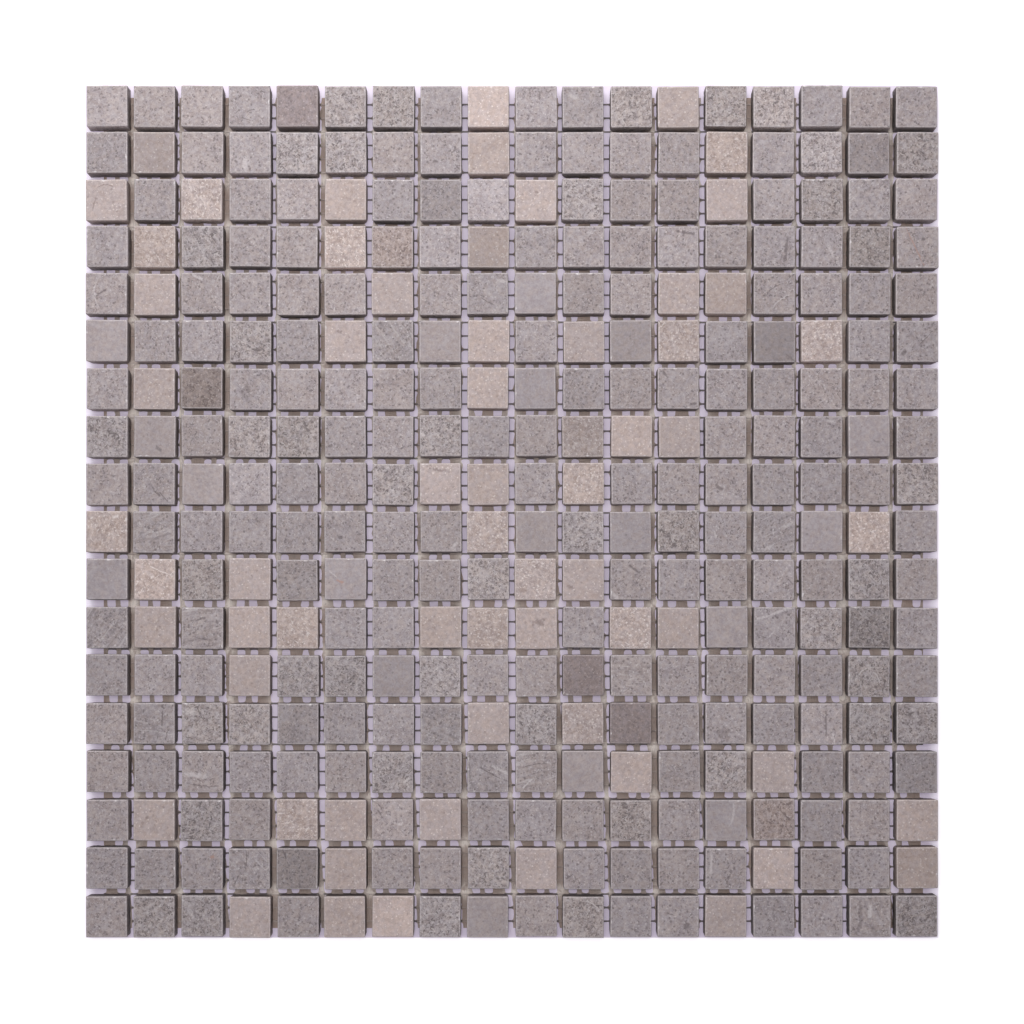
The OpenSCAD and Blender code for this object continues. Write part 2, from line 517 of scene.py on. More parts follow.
@dataclass(frozen=True)
class Limestone:
    """One sort of honed limestone.

    The ground runs between a dark and a light colour, with dark flecks, pale fossils and grain in it.
    """

    name: str
    light: Colour
    dark: Colour
    fleck: Colour
    fossil: Colour
    # The arris's colour: bruised stone and a painted highlight.
    bruise_and_highlight: Colour = (0.66, 0.61, 0.605)
    cloud: float = 0.45
    mottle: float = 1.2
    grain: float = 0.8
    fleck_mm: float = 0.95
    fleck_from: float = 0.60
    fleck_depth: float = 0.8
    pits: float = 0.55
    fossil_mm: float = 0.95
    fossil_from: float = 0.62
    fossil_depth: float = 0.7
    shells: float = 0.4
    streak: float = 0.0
    roughness: float = 0.58

    def material(self) -> bpy.types.Material:
        """Build the finish.

        Returns:
            The finished material.
        """
        graph = NodeGraph(bpy.data.materials.new(self.name))
        at = graph.attribute("stone_at", vector=True)
        cloud = graph.noise(at, 7.0, 2.0, 0.5, 0.4)
        mottle = graph.noise(at, 1.4, 2.0, 0.55, 0.4)
        grain = graph.noise(at, 0.5, 2.0, 0.62)
        ground = graph.math("MULTIPLY_ADD", graph.math("SUBTRACT", cloud, 0.5), self.cloud)
        ground.node.inputs[2].default_value = 0.5
        ground = self._added(graph, ground, mottle, self.mottle)
        ground = self._added(graph, ground, grain, self.grain)
        colour = graph.mix(graph.step(ground, 0.1, 0.9), self.dark, self.light)
        colour = self._tinted(graph, at, colour)
        colour = self._flecks(graph, at, cloud, colour)
        colour = self._fossils(graph, at, colour)
        if self.streak:
            colour = self._streaks(graph, at, colour)
        for number in range(MARKS_PER_CHIP):
            colour = self._marked(graph, number, at, grain, colour)
        # The tone darkens or lightens the colour: the chip's own tone, and on its sides painted shade, deeper
        # towards the back, and painted light on the front ones.
        tone = graph.node("ShaderNodeCombineColor")
        for socket in tone.inputs:
            graph.feed(socket, graph.attribute("tone"))
        colour = graph.mix(1.0, colour, tone.outputs[0], "MULTIPLY")
        colour = self._worn_and_highlit(graph, colour, grain)
        shader = graph.node("ShaderNodeBsdfPrincipled")
        graph.feed(shader.inputs["Base Color"], colour)
        shader.inputs["Specular IOR Level"].default_value = 0.3
        rough = graph.math("MULTIPLY_ADD", mottle, 0.2)
        rough.node.inputs[2].default_value = self.roughness - 0.1
        graph.feed(shader.inputs["Roughness"], rough)
        relief = graph.math("ADD", graph.math("MULTIPLY", mottle, 0.6), graph.math("MULTIPLY", grain, 0.4))
        graph.feed(shader.inputs["Normal"], graph.bump(relief, 0.05, 0.5))
        out = graph.node("ShaderNodeOutputMaterial")
        graph.feed(out.inputs["Surface"], shader.outputs["BSDF"])
        return graph.owner

    @staticmethod
    def _added(graph: NodeGraph, ground: Socket, clouds: Socket, share: float) -> Socket:
        """Add clouds to the ground, round their middle.

        Args:
            graph: The tree to build in.
            ground: The ground so far.
            clouds: What is added.
            share: How strongly.

        Returns:
            The new ground.
        """
        made = graph.math("MULTIPLY_ADD", graph.math("SUBTRACT", clouds, 0.5), share)
        graph.feed(made.node.inputs[2], ground)
        return made

    @staticmethod
    def _tinted(graph: NodeGraph, at: Socket, colour: Socket) -> Socket:
        """Let the hue drift between warmer and colder patches.

        Args:
            graph: The tree to build in.
            at: The place in the stone.
            colour: The colour so far.

        Returns:
            The tinted colour.
        """
        drift = graph.step(graph.noise(at, 2.1, 2.0, 0.6, 0.5), 0.3, 0.7)
        drift = graph.math("ADD", drift, graph.attribute("warmth"), clamp=True)
        return graph.mix(1.0, colour, graph.mix(drift, COLDER, WARMER), "MULTIPLY")

    def _flecks(
        self, graph: NodeGraph, at: Socket, cloud: Socket, colour: Socket
    ) -> Socket:
        """Add the dark flecks, which come in patches.

        Args:
            graph: The tree to build in.
            at: The place in the stone.
            cloud: The broad clouds.
            colour: The colour so far.

        Returns:
            The colour with its flecks.
        """
        spots = graph.noise(at, self.fleck_mm, 2.5, 0.55, 0.9)
        patchy = graph.math("MULTIPLY_ADD", graph.math("SUBTRACT", cloud, 0.5), -0.22)
        graph.feed(patchy.node.inputs[2], spots)
        mask = graph.step(patchy, self.fleck_from, self.fleck_from + 0.09)
        strokes = graph.noise(graph.stretched(at, (0.42, 1.5, 1.0)), self.fleck_mm * 0.9, 2.0, 0.5, 1.6)
        lines = graph.step(strokes, self.fleck_from + 0.045, self.fleck_from + 0.12)
        both = graph.math("MAXIMUM", mask, graph.math("MULTIPLY", lines, 0.8))
        pits = graph.specks(graph.jittered(at, 0.6, 0.7), 1.45, 0.36, self.pits)
        both = graph.math("MAXIMUM", both, graph.math("MULTIPLY", pits, 0.85))
        return graph.mix(graph.math("MULTIPLY", both, self.fleck_depth), colour, self.fleck)

    def _fossils(
        self, graph: NodeGraph, at: Socket, colour: Socket
    ) -> Socket:
        """Add the pale fossils, bent ones and small round ones.

        Args:
            graph: The tree to build in.
            at: The place in the stone.
            colour: The colour so far.

        Returns:
            The colour with its fossils.
        """
        bent = graph.noise(graph.stretched(at, (1.3, 0.6, 1.0)), self.fossil_mm, 2.0, 0.5, 1.8)
        mask = graph.step(bent, self.fossil_from, self.fossil_from + 0.08)
        ragged = graph.jittered(graph.stretched(at, (1.0, 1.0, 1.7)), 0.5, 0.6)
        shells = graph.specks(ragged, 1.2, 0.3, self.shells)
        mask = graph.math("MAXIMUM", mask, shells)
        return graph.mix(graph.math("MULTIPLY", mask, self.fossil_depth), colour, self.fossil)

    def _streaks(self, graph: NodeGraph, at: Socket, colour: Socket) -> Socket:
        """Add long veins, dark and pale.

        Args:
            graph: The tree to build in.
            at: The place in the stone.
            colour: The colour so far.

        Returns:
            The colour with its veins.
        """
        veins = graph.noise(graph.stretched(at, (0.16, 1.0, 0.5)), 1.5, 3.0, 0.55, 0.9)
        dark = graph.math("MULTIPLY", graph.step(veins, 0.56, 0.66), self.streak * 0.7)
        colour = graph.mix(dark, colour, self.fleck)
        pale = graph.math("MULTIPLY", graph.step(veins, 0.42, 0.32), self.streak)
        return graph.mix(pale, colour, self.fossil)

    def _marked(
        self, graph: NodeGraph, number: int, at: Socket, grain: Socket,
        colour: Socket,
    ) -> Socket:
        """Add the marks that single chips are known by.

        Args:
            graph: The tree to build in.
            number: Which of a chip's marks.
            at: The place in the stone.
            grain: The fine grain, which breaks the mark up.
            colour: The colour so far.

        Returns:
            The marked colour.
        """
        seen, form = (graph.node("ShaderNodeSeparateXYZ") for _ in range(2))
        graph.feed(seen.inputs[0], graph.attribute(f"mark_at_{number}", vector=True))
        graph.feed(form.inputs[0], graph.attribute(f"mark_form_{number}", vector=True))
        along, across, bend = seen.outputs
        bow = graph.math("MULTIPLY", graph.math("MULTIPLY", along, along), bend)
        wobble = graph.math("SUBTRACT", graph.noise(at, 1.4, 3.0, 0.6), 0.5)
        off = graph.math("SUBTRACT", across, bow)
        off = graph.math("ABSOLUTE", graph.math("ADD", off, graph.math("MULTIPLY", wobble, 1.2)))
        near = graph.math("DIVIDE", off, form.outputs[1])
        far = graph.math("DIVIDE", graph.math("ABSOLUTE", along), form.outputs[0])
        ragged = graph.math("MULTIPLY", wobble, 2.6)
        near, far = graph.math("ADD", near, ragged), graph.math("ADD", far, ragged)
        inside = graph.math("MULTIPLY", graph.step(near, 1.5, 0.4), graph.step(far, 1.2, 0.5))
        broken = graph.math("MULTIPLY_ADD", graph.step(grain, 0.35, 0.55), 0.45)
        broken.node.inputs[2].default_value = 0.55
        tone = form.outputs[2]
        strength = graph.math("MULTIPLY", graph.math("ABSOLUTE", tone), broken)
        share = graph.math("MULTIPLY", inside, strength, clamp=True)
        paint = graph.mix(graph.step(tone, -0.1, 0.1), self.fleck, self.fossil)
        paint = graph.mix(graph.step(tone, 1.4, 1.6), paint, RUST)
        return graph.mix(share, colour, paint)

    def _worn_and_highlit(self, graph: NodeGraph, colour: Socket, grain: Socket) -> Socket:
        """Lighten the arris, partly for bruised stone and partly as a painted highlight where it catches the
        light.

        Args:
            graph: The tree to build in.
            colour: The colour so far.
            grain: The fine grain, which breaks the wear and the painted highlight up.

        Returns:
            The worn colour.
        """
        # The arris is painted lighter: partly bruised stone, partly a painted highlight where it catches the
        # light. Deep nicks turn paler still.
        wear = graph.attribute("edge_wear_and_highlight")
        broken = graph.math("MULTIPLY_ADD", graph.step(grain, 0.3, 0.6), 0.36)
        broken.node.inputs[2].default_value = 0.26
        colour = graph.mix(graph.math("MULTIPLY", wear, broken, clamp=True), colour, self.bruise_and_highlight)
        return graph.mix(graph.math("MULTIPLY", graph.step(wear, 1.15, 1.9), 0.7), colour, NICKED)


STONES: Mapping[StoneKind, Limestone] = {
    StoneKind.FOSSIL_GREY: Limestone(
        "Fossil_grey_limestone", light=(0.45, 0.397, 0.40), dark=(0.29, 0.245, 0.25),
        fleck=(0.15, 0.122, 0.125), fossil=(0.57, 0.52, 0.52),
    ),
    StoneKind.WARM_BEIGE: Limestone(
        "Warm_beige_limestone", light=(0.529, 0.443, 0.424), dark=(0.388, 0.315, 0.298),
        fleck=(0.25, 0.196, 0.185), fossil=(0.70, 0.63, 0.60), bruise_and_highlight=(0.72, 0.65, 0.62), fleck_from=0.64,
        fleck_depth=0.6, pits=0.16, fossil_from=0.64, fossil_depth=0.75, shells=0.5,
    ),
    StoneKind.MOTTLED_BEIGE: Limestone(
        "Mottled_beige_limestone", light=(0.565, 0.476, 0.452), dark=(0.352, 0.279, 0.26),
        fleck=(0.24, 0.185, 0.172), fossil=(0.74, 0.67, 0.64), bruise_and_highlight=(0.72, 0.65, 0.62), mottle=1.5,
        fleck_mm=1.0, fleck_from=0.60, fleck_depth=0.6, pits=0.3, fossil_mm=1.2, fossil_from=0.60,
        fossil_depth=0.8, shells=0.6,
    ),
    StoneKind.COARSE_GREY: Limestone(
        "Coarse_grey_limestone", light=(0.487, 0.432, 0.43), dark=(0.255, 0.213, 0.213),
        fleck=(0.12, 0.098, 0.097), fossil=(0.60, 0.55, 0.54), mottle=1.4, fleck_mm=1.1,
        fleck_from=0.565, fleck_depth=0.82, fossil_from=0.60,
    ),
    StoneKind.SMOOTH_GREY: Limestone(
        "Smooth_grey_limestone", light=(0.44, 0.388, 0.393), dark=(0.30, 0.254, 0.26),
        fleck=(0.19, 0.16, 0.165), fossil=(0.53, 0.483, 0.483), mottle=0.9, grain=0.7,
        fleck_from=0.655, fleck_depth=0.6, pits=0.12, fossil_from=0.66, fossil_depth=0.5, shells=0.15,
    ),
    StoneKind.STREAKED_GREY: Limestone(
        "Streaked_grey_limestone", light=(0.457, 0.404, 0.407), dark=(0.272, 0.23, 0.235),
        fleck=(0.15, 0.122, 0.125), fossil=(0.60, 0.555, 0.553), fleck_from=0.62, streak=0.45,
    ),
    StoneKind.DARK_BROWN: Limestone(
        "Dark_brown_limestone", light=(0.326, 0.268, 0.268), dark=(0.197, 0.158, 0.158),
        fleck=(0.13, 0.10, 0.10), fossil=(0.42, 0.36, 0.35), bruise_and_highlight=(0.50, 0.44, 0.43), fleck_from=0.63,
        fleck_depth=0.6,
    ),
    StoneKind.RED_SPECKLED: Limestone(
        "Red_speckled_limestone", light=(0.455, 0.383, 0.372), dark=(0.27, 0.215, 0.205),
        fleck=(0.14, 0.102, 0.096), fossil=(0.58, 0.51, 0.495), mottle=1.4, fleck_mm=1.0, fleck_from=0.57,
    ),
}


@dataclass(frozen=True)
class Outline:
    """The outline of a square with round corners, as points that every level of a chip shares."""

    per_side: int = 22
    per_corner: int = 4

    def count(self) -> int:
        """Return the number of points."""
        return 4 * (self.per_side + self.per_corner)

    def points(self, half: float, radius: float) -> tuple[np.ndarray, np.ndarray]:
        """Lay the points out, anticlockwise from the right-hand side.

        Args:
            half: Half of the square's side.
            radius: Radius of its corners.

        Returns:
            The points and their outward directions.
        """
        flat = half - radius
        along = np.linspace(-flat, flat, self.per_side)
        angles = np.linspace(0.0, math.pi / 2, self.per_corner + 2)[1:-1]
        side = np.column_stack((np.full(self.per_side, half), along))
        side_out = np.tile((1.0, 0.0), (self.per_side, 1))
        corner_out = np.column_stack((np.cos(angles), np.sin(angles)))
        corner = corner_out * radius + flat
        points, outs = [], []
        for quarter in range(4):
            cos, sin = (1, 0, -1, 0)[quarter], (0, 1, 0, -1)[quarter]
            spin = np.array(((cos, sin), (-sin, cos)))
            points += [side @ spin, corner @ spin]
            outs += [side_out @ spin, corner_out @ spin]
        return np.vstack(points), np.vstack(outs)


@dataclass
class EdgeDamage:
    """Bites out of an edge, laid round a chip."""

    draw: random.Random
    points: int
    round_mm: float = 60.0

    def bites(self, count: int, width: tuple[float, float], depth: tuple[float, float]) -> np.ndarray:
        """Lay bites round the edge.

        Args:
            count: Number of bites.
            width: Least and greatest width.
            depth: Least and greatest depth.

        Returns:
            The depth at each point of the outline.
        """
        at = np.arange(self.points) * self.round_mm / self.points
        taken = np.zeros(self.points)
        for _ in range(count):
            middle = self.draw.uniform(0.0, self.round_mm)
            spread = self.draw.uniform(*width) / 2
            deep = self.draw.uniform(*depth)
            away = np.abs(at - middle)
            away = np.minimum(away, self.round_mm - away)
            taken = np.maximum(taken, deep * np.exp(-((away / spread) ** 2) * 1.5))
        return taken

    def waves(self, depth: float, count: int) -> np.ndarray:
        """Lay shallow waves round the edge.

        Args:
            depth: Greatest depth.
            count: Number of waves that are added up.

        Returns:
            The depth at each point, from 0 up.
        """
        turn = np.arange(self.points) * math.tau / self.points
        total = np.zeros(self.points)
        for number in range(count):
            total += np.sin(turn * (number + 2) + self.draw.uniform(0.0, math.tau)) / count
        return (total + 1.0) * depth / 2


@dataclass
class ChipCourse:
    """One course of chips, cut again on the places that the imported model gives.

    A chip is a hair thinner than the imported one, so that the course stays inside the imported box.
    """

    number: int
    finishes: Mapping[StoneKind, bpy.types.Material]
    thickness: float = 7.999
    arris: float = 0.35
    cap_inset: float = 2.8
    cap_radius: float = 3.2
    outline: Outline = field(default_factory=Outline)
    seed: int = 4200

    def node_name(self) -> str:
        """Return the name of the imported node."""
        return f"chip_row_{self.number:02d}"

    def places(self) -> list[ChipPlace]:
        """Read where the chips of the course were set.

        Returns:
            The chips, from left to right.
        """
        solid = bmesh.new()
        solid.from_mesh(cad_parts[self.node_name()].data)
        bmesh.ops.remove_doubles(solid, verts=solid.verts, dist=1e-6)
        found = [self._measured(chip) for chip in self._islands(solid)]
        solid.free()
        found.sort(key=lambda spot: spot[0])
        return [ChipPlace(self.number, index + 1, *spot) for index, spot in enumerate(found)]

    @staticmethod
    def _islands(solid: Solid) -> Iterable[list[Vector]]:
        """Go through the separate chips of a node.

        Args:
            solid: The node's mesh.

        Yields:
            The corners of one chip.
        """
        seen: set[int] = set()
        for start in solid.verts:
            if start.index in seen:
                continue
            stack, corners = [start], []
            seen.add(start.index)
            while stack:
                corner = stack.pop()
                corners.append(corner.co.copy())
                for edge in corner.link_edges:
                    other = edge.other_vert(corner)
                    if other.index not in seen:
                        seen.add(other.index)
                        stack.append(other)
            yield corners

    def _measured(self, corners: list[Vector]) -> tuple[float, float, float, float]:
        """Measure one chip on the corners of its honed face.

        Args:
            corners: All corners of the chip, in metres.

        Returns:
            Its middle, its turn and its side.
        """
        top = max(corner.z for corner in corners)
        face = [corner / MM for corner in corners if corner.z > top - 1e-5]
        middle = sum(face, Vector()) / len(face)
        right = max(face, key=lambda corner: corner.x + corner.y)
        low = max(face, key=lambda corner: corner.x - corner.y)
        edge = right - low
        return middle.x, middle.y, math.atan2(-edge.x, edge.y), edge.length + 2 * self.arris

    def build(self) -> bpy.types.Object:
        """Cut the course.

        Returns:
            The piece that stands for the node.
        """
        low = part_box(self.node_name())[0].z / MM
        solid = bmesh.new()
        layers = {
            "stone_at": solid.verts.layers.float_vector.new("stone_at"),
            "edge_wear_and_highlight": solid.verts.layers.float.new("edge_wear_and_highlight"),
            "tone": solid.verts.layers.float.new("tone"),
            "warmth": solid.verts.layers.float.new("warmth"),
        }
        for number in range(MARKS_PER_CHIP):
            for name in (f"mark_at_{number}", f"mark_form_{number}"):
                layers[name] = solid.verts.layers.float_vector.new(name)
        order = list(self.finishes)
        for spot in self.places():
            self._cut(solid, layers, spot, low, order.index(spot.kind()))
        mesh = bpy.data.meshes.new(f"course_{self.number:02d}_chips")
        solid.to_mesh(mesh)
        solid.free()
        for material in self.finishes.values():
            mesh.materials.append(material)
        mesh.shade_smooth()
        mesh.set_sharp_from_angle(angle=math.radians(SHARP_DEG))
        piece = bpy.data.objects.new(mesh.name, mesh)
        bpy.context.scene.collection.objects.link(piece)
        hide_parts(self.node_name())
        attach(piece, BODY)
        return piece

    def _levels(
        self, spot: ChipPlace, draw: random.Random
    ) -> list[tuple[np.ndarray, np.ndarray, np.ndarray, np.ndarray]]:
        """Shape the levels of a chip from its back to its honed face.

        Args:
            spot: The chip.
            draw: The source of its chances.

        Returns:
            The plan, the heights, the edge wear with its painted highlight, and the tone with its painted
            shade and light, of each level.
        """
        count = self.outline.count()
        damage = EdgeDamage(draw, count)
        half = spot.side / 2
        back = 0.25 + damage.bites(draw.randint(12, 20), (0.7, 2.1), (0.15, 1.0)) + damage.waves(0.2, 5)
        back = np.minimum(back, 1.4)
        nicks = damage.bites(draw.randint(2, 6), (0.6, 1.4), (0.08, 0.35))
        worn = self.arris * (0.72 + damage.waves(0.3, 6)) + nicks
        saw = damage.waves(0.07, 4)
        low_radius, top_radius = draw.uniform(0.6, 2.2), draw.uniform(0.3, 0.7)
        top = np.full(count, self.thickness)
        within = np.full(count, self.cap_inset)
        arris_wear_and_highlight = 1.0 + 3.0 * nicks
        none, even = np.zeros(count), np.ones(count)
        # The front sides, which face -Y, are painted lighter by a random amount, painted light from that
        # side; the other sides are painted darker by a random amount, painted shade.
        front = np.clip(-self.outline.points(half, top_radius)[1][:, 1], 0.0, 1.0) ** 2
        plain = draw.uniform(*SIDE_PAINTED_SHADE_AND_TONE)
        front_painted_light = FRONT_PAINTED_LIGHT_AND_TONE * FRONT_PAINTED_LIGHT_RANGE ** (draw.random() ** FRONT_PAINTED_LIGHT_BIAS)
        side = plain * (1.0 - front) + front_painted_light * front
        plan = (
            # Towards the back the sides are painted darker still, painted shade at the chip's foot.
            (back, none, low_radius, none, side * 0.5),
            (0.42 * back, 0.34 * back, low_radius, none, side * 0.65),
            (0.05 * back + 0.5 * saw, 1.05 * back, low_radius * 0.85, none, side * 0.9),
            (saw + 0.1, top - 1.1 * worn, top_radius, none, side),
            # The arris levels carry the arris's wear and its painted highlight.
            (saw + 0.1 + 0.32 * worn, top - 0.38 * worn, top_radius, 0.9 * arris_wear_and_highlight, even),
            (saw + 0.1 + worn, top, top_radius, arris_wear_and_highlight, even),
            (saw + 0.38 + worn, top, top_radius + 0.5, none, even),
            (within, top, self.cap_radius, none, even),
        )
        levels = []
        for inset, height, radius, wear, share in plan:
            points, outs = self.outline.points(half, radius)
            levels.append((points - outs * inset[:, None], height, wear, share))
        return levels

    def _cut(self, solid: Solid, layers: Layers, spot: ChipPlace, low: float, finish: int) -> None:
        """Cut one chip.

        Args:
            solid: The mesh of the course.
            layers: The values that the finish reads.
            spot: The chip.
            low: Height of the chips' backs.
            finish: Place of its finish among the course's.
        """
        draw = random.Random(self.seed + SEEDS_PER_COURSE * spot.course + spot.place)
        levels = self._levels(spot, draw)
        cos, sin = math.cos(spot.turn), math.sin(spot.turn)
        spin = np.array(((cos, sin), (-sin, cos)))
        grain = draw.uniform(0.0, math.tau)
        bed = np.array(((math.cos(grain), math.sin(grain)), (-math.sin(grain), math.cos(grain))))
        shift = [draw.uniform(-500.0, 500.0) for _ in range(3)]
        tone = spot.shade() * draw.uniform(0.925, 1.075)
        warmth = draw.uniform(-0.3, 0.3)
        rings = []
        for plan, height, wear, share in levels:
            placed = plan @ spin
            inside = plan @ bed
            seen = [mark.seen_from(plan) for mark in spot.marks()]
            ring = []
            for index in range(len(plan)):
                corner = solid.verts.new((
                    (spot.x + placed[index, 0]) * MM,
                    (spot.y + placed[index, 1]) * MM,
                    (low + height[index]) * MM,
                ))
                corner[layers["stone_at"]] = (
                    inside[index, 0] + shift[0], inside[index, 1] + shift[1], height[index] + shift[2]
                )
                corner[layers["edge_wear_and_highlight"]] = wear[index]
                # The tone is the chip's own random tone times its level's share, which holds the painted
                # shade and painted light of the sides.
                corner[layers["tone"]] = tone * share[index]
                corner[layers["warmth"]] = warmth
                for number, mark in enumerate(spot.marks()):
                    corner[layers[f"mark_at_{number}"]] = seen[number][index]
                    corner[layers[f"mark_form_{number}"]] = (mark.length / 2, mark.width / 2, mark.tone.value)
                ring.append(corner)
            rings.append(ring)
        faces = self._capped(solid, layers, rings[0][::-1]) + self._capped(solid, layers, rings[-1])
        count = len(rings[0])
        for under, over in zip(rings, rings[1:]):
            for index in range(count):
                after = (index + 1) % count
                faces.append(solid.faces.new((under[index], under[after], over[after], over[index])))
        for face in faces:
            face.material_index = finish

    @staticmethod
    def _capped(
        solid: Solid, layers: Layers, ring: list[bmesh.types.BMVert]
    ) -> list[bmesh.types.BMFace]:
        """Close a chip's back or its honed face with wedges round its middle.

        Args:
            solid: The mesh of the course.
            layers: The values that the finish reads.
            ring: The corners round the face.

        Returns:
            The wedges.
        """
        middle = solid.verts.new(sum((corner.co for corner in ring), Vector()) / len(ring))
        for name, layer in layers.items():
            none = 0.0 if name in ("edge_wear_and_highlight", "tone", "warmth") else Vector()
            middle[layer] = sum((corner[layer] for corner in ring), none) / len(ring)
        return [solid.faces.new((ring[index - 1], ring[index], middle)) for index in range(len(ring))]


@dataclass(frozen=True)
class GluedYarn:
    """Glass yarn, white and dull where it is dry and tan and smooth where glue soaks it. Near the chips'
    corners it is painted pale, painted light, and over the openings the thin yarns are painted dark, painted
    shade.
    """

    name: str = "Glued_glass_yarn"
    dry: Colour = (0.55, 0.465, 0.43)
    soaked: Colour = (0.435, 0.313, 0.262)
    corner_painted_light: Colour = (0.92, 0.83, 0.76)
    dark: Colour = (0.17, 0.13, 0.115)
    painted_thread_shade: Colour = (0.11, 0.095, 0.11)
    roughness: float = 0.42

    def material(self) -> bpy.types.Material:
        """Build the finish.

        Returns:
            The finished material.
        """
        graph = NodeGraph(bpy.data.materials.new(self.name))
        at = graph.attribute("fibre_at", vector=True)
        soak = graph.attribute("soak")
        fibres = graph.noise(graph.stretched(at, (7.0, 0.35, 7.0)), 1.0, 2.0, 0.6)
        pools = graph.noise(at, 3.2, 3.0, 0.55, 0.6)
        uneven = graph.math("MULTIPLY", graph.math("SUBTRACT", pools, 0.5), 0.9)
        wet = graph.math("ADD", soak, uneven, clamp=True)
        colour = graph.mix(wet, self.dry, self.soaked)
        # Near the chips' corners the yarn is painted pale in patches, painted light where more light reaches
        # the net between the chips.
        corner_light_share = graph.math("MULTIPLY", graph.attribute("corner"), graph.step(pools, 0.3, 0.55))
        colour = graph.mix(corner_light_share, colour, self.corner_painted_light)
        seams = graph.math("MULTIPLY", graph.step(fibres, 0.52, 0.68), 0.4)
        colour = graph.mix(seams, colour, self.dark)
        crumbs = graph.math("MULTIPLY", graph.step(graph.noise(at, 0.7, 2.0, 0.6, 0.8), 0.66, 0.74), 0.5)
        colour = graph.mix(crumbs, colour, self.dark)
        # Over the openings the thin yarns are painted dark, painted shade against the pale floor.
        colour = graph.mix(graph.math("MULTIPLY", graph.attribute("painted_thread_shade_share"), 0.8), colour, self.painted_thread_shade)
        shader = graph.node("ShaderNodeBsdfPrincipled")
        graph.feed(shader.inputs["Base Color"], colour)
        rough = graph.math("MULTIPLY_ADD", wet, -0.2)
        rough.node.inputs[2].default_value = self.roughness + 0.2
        graph.feed(shader.inputs["Roughness"], rough)
        relief = graph.math("ADD", fibres, graph.math("MULTIPLY", pools, 0.7))
        graph.feed(shader.inputs["Normal"], graph.bump(relief, 0.06, 0.7))
        out = graph.node("ShaderNodeOutputMaterial")
        graph.feed(out.inputs["Surface"], shader.outputs["BSDF"])
        return graph.owner


@dataclass(frozen=True)
class NetPattern:
    """How the net is laid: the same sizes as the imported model's."""

    left: float = -147.0
    width: float = 295.0
    first_wide: float = 10.7
    pair_pitch: float = 11.6
    wide_yarn: float = 4.0
    narrow_yarn: float = 1.6
    cross_pitch: float = 4.9
    cross_yarn: float = 0.6
    upright_thick: float = 0.2
    cross_thick: float = 0.2
    stray: float = 4.8
    half_sheet: float = 152.0

    def stray_at(self, y: float) -> float:
        """Return how far the upright yarns have strayed to the right at a height."""
        return self.stray * (max(0.0, -y) / self.half_sheet) ** 2

    def right(self) -> float:
        """Return the net's right edge."""
        return self.left + self.width

    def uprights(self) -> list[tuple[float, float, float]]:
        """List the upright yarns.

        Returns:
            The middle, the width and the soak of each yarn.
        """
        yarns = []
        for pair in range(-3, 28):
            middle = self.left + self.first_wide + pair * self.pair_pitch
            yarns.append((middle, self.wide_yarn, 0.85))
            yarns.append((middle + self.pair_pitch / 2, self.narrow_yarn, 0.45))
        return yarns


@dataclass(frozen=True)
class JointGrid:
    """The middles of the joints. Where they cross, at the corners of the chips, the yarn is painted pale,
    painted light where more light reaches the net.
    """

    columns: tuple[float, ...]
    rows: tuple[float, ...]
    reach: float = 2.8

    @classmethod
    def read(cls, courses: int, chips: int = 18, pitch: float = 17.0) -> "JointGrid":
        """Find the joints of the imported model.

        Args:
            courses: Number of courses.
            chips: Number of chips in a course.
            pitch: Distance between the middles of two chips.

        Returns:
            The grid of the joints.
        """
        boxes = [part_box(f"chip_row_{number:02d}") for number in range(1, courses + 1)]
        rows = tuple((upper[0].y + lower[1].y) / 2 / MM for upper, lower in zip(boxes, boxes[1:]))
        return cls(tuple((number - chips / 2) * pitch for number in range(1, chips)), rows)

    def corner_at(self, x: float, y: float) -> float:
        """Return how near a place is to the corners of the chips, from 0 to 1."""
        across = min(abs(x - column) for column in self.columns)
        along = min(abs(y - row) for row in self.rows)
        return math.exp(-((across / self.reach) ** 2) - (along / self.reach) ** 2)


